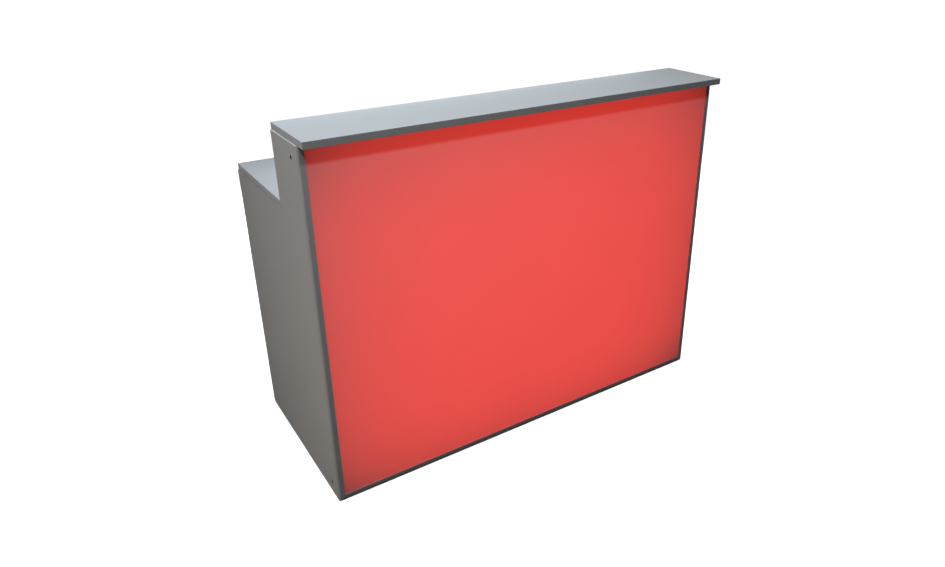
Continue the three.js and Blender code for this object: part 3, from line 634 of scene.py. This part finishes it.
def entry_screws():
    low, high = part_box("entry_plate")
    model = combined(screw_dome("screw_model"), cross_cutter("screw_cutter"), "DIFFERENCE")
    dress(model, finishes["zinc_steel"])
    columns = (low.x + SCREW_INSET, high.x - SCREW_INSET)
    rows = (low.z + SCREW_INSET, high.z - SCREW_INSET)
    places = [(x, high.y, z) for x in columns for z in rows]
    for number, place in enumerate(places, 1):
        screw = show(f"entry_screw_{number}", model.data.copy())
        turn = Matrix.Rotation(SCREW_TURN_RAD * number, 4, "Y")
        screw.data.transform(Matrix.Translation(place) @ turn)
        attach(screw, "counter")
    bpy.data.objects.remove(model)


entry_screws()


# Floor and backdrop

FLOOR_RADIUS = 30.0
FLOOR_SIDES = 96
FLOOR_PALE = colour(0.80, 0.80, 0.80)
FLOOR_BOUNCE = colour(0.08, 0.08, 0.08)
AMBIENT = 0.02

# The floor's own white rises from one level to the other between two distances from the counter's middle.
FLOOR_GLOW_NEAR = 0.94
FLOOR_GLOW_FAR = 1.0
FLOOR_NEAR = 1.3
FLOOR_FAR = 3.5


def off_footprint(floor, place):
    """0 under the counter, where the gap that the glides leave stays dark, and 1 elsewhere."""
    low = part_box("left_side_panel")[0]
    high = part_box("right_side_panel")[1]
    apart = []
    for axis in range(2):
        middle = (low[axis] + high[axis]) / 2
        half = (high[axis] - low[axis]) / 2
        away = floor.math("ABSOLUTE", floor.math("SUBTRACT", floor.axes(place)[axis], middle))
        apart.append(floor.math("GREATER_THAN", away, half))
    return floor.math("MAXIMUM", *apart)


def floor_glow(floor):
    """None under the counter, and a little less near it than far off, so that its shadow shows."""
    place = floor.new("TexCoord", {}).outputs["Object"]
    away = floor.new("VectorMath", {0: place}, operation="LENGTH").outputs["Value"]
    level = floor.spread(away, FLOOR_GLOW_NEAR, FLOOR_GLOW_FAR, start=FLOOR_NEAR, end=FLOOR_FAR)
    return floor.math("MULTIPLY", level, off_footprint(floor, place))


def pale_floor():
    """A floor that looks white, keeps the object's shadow and throws little light back up."""
    material = bpy.data.materials.new("pale_floor")
    material.use_nodes = True
    floor = Graph(material.node_tree)
    floor.tree.nodes.clear()
    bounce = floor.new("BsdfDiffuse", {"Color": FLOOR_BOUNCE}).outputs[0]
    lit = floor.new("BsdfDiffuse", {"Color": FLOOR_PALE}).outputs[0]
    glow = floor.new("Emission", {"Strength": floor_glow(floor)}).outputs[0]
    shown = floor.new("AddShader", {0: lit, 1: glow}).outputs[0]
    choice = floor.new("MixShader", {0: floor.seen_directly(), 1: bounce, 2: shown}).outputs[0]
    floor.new("OutputMaterial", {"Surface": choice})
    return material


def make_floor():
    disc = bmesh.new()
    bmesh.ops.create_circle(disc, cap_ends=True, segments=FLOOR_SIDES, radius=FLOOR_RADIUS)
    floor = keep_mesh("floor", disc)
    dress(floor, pale_floor())


def make_world():
    """White where it is seen, and only a faint light on the counter."""
    world = bpy.data.worlds.new("studio")
    world.use_nodes = True
    bpy.context.scene.world = world
    sky = Graph(world.node_tree)
    background = sky.tree.nodes["Background"]
    background.inputs["Color"].default_value = colour(1, 1, 1)
    level = sky.spread(sky.seen_directly(), low=AMBIENT, high=1.0, start=0, end=1)
    sky.tree.links.new(level, background.inputs["Strength"])


# Lights

COOL = (0.89, 1.0, 1.07)
NEUTRAL = (1.0, 1.0, 1.0)
WARM = (1.20, 1.0, 0.82)
AIM = Vector((0, 0, 0.8))
KEY_SIZE = (0.17, 0.17)
OVERHEAD_SIZE = (0.5, 0.5)


def stand(lamp, place, watts, tone):
    """Puts a lamp in the studio, turned towards the counter."""
    lamp.energy = watts
    lamp.color = tone
    holder = show(lamp.name, lamp)
    holder.location = place
    holder.visible_camera = False
    holder.rotation_euler = (AIM - Vector(place)).to_track_quat("-Z", "Y").to_euler()


def softbox(name, place, size, watts, tone):
    lamp = bpy.data.lights.new(name, "AREA")
    lamp.shape = "RECTANGLE"
    lamp.size, lamp.size_y = size
    stand(lamp, place, watts, tone)


def lantern(name, place, radius, watts, tone):
    lamp = bpy.data.lights.new(name, "POINT")
    lamp.shadow_soft_size = radius
    stand(lamp, place, watts, tone)


def make_lights():
    """The keys are small and high in front, so that the bar top's overhang shades the lit panel.
    The left key also lights the left side panel's front edge, past the end of the bar top."""
    softbox("key", place=(-0.2, -1.43, 2.4), size=KEY_SIZE, watts=6.0, tone=NEUTRAL)
    softbox("key_left", place=(-1.3, -1.43, 2.4), size=KEY_SIZE, watts=5.2, tone=NEUTRAL)
    softbox("overhead_left", place=(-1.08, -0.28, 2.35), size=OVERHEAD_SIZE, watts=14.2, tone=COOL)
    softbox("overhead", place=(0.3, -0.28, 2.35), size=OVERHEAD_SIZE, watts=8.3, tone=COOL)
    lantern("left", place=(-1.7, -0.42, 0.55), radius=0.25, watts=10.2, tone=WARM)
    softbox("riser", place=(0, 0.03, 1.13), size=(1.3, 0.06), watts=1.5, tone=COOL)
    softbox("right", place=(3.0, 0.15, 0.72), size=(0.9, 0.6), watts=22.0, tone=NEUTRAL)
    softbox("rear_left", place=(-0.33, 2.8, 0.58), size=(0.7, 0.5), watts=28.0, tone=NEUTRAL)
    softbox("rear_right", place=(2.1, 2.6, 0.58), size=(1.0, 0.5), watts=46.0, tone=NEUTRAL)


# Camera

# It stands where the photograph was taken from, to the left of the counter and above it.
CAMERA_PLACE = (-1.21436, -1.97065, 1.54739)
CAMERA_TURN_DEG = (65.5933, -0.1509, -34.1581)
CAMERA_SENSOR_MM = 36
CAMERA_LENS_MM = 28.193
CAMERA_SHIFT = (-0.04894, -0.02574)


def make_camera():
    lens = bpy.data.cameras.new("camera")
    lens.sensor_fit = "HORIZONTAL"
    lens.sensor_width = CAMERA_SENSOR_MM
    lens.lens = CAMERA_LENS_MM
    lens.shift_x, lens.shift_y = CAMERA_SHIFT
    camera = show("camera", lens)
    camera.location = CAMERA_PLACE
    camera.rotation_euler = Euler([math.radians(angle) for angle in CAMERA_TURN_DEG])
    bpy.context.scene.camera = camera


make_floor()
make_world()
make_lights()
make_camera()
bpy.context.scene.view_settings.view_transform = "Standard"
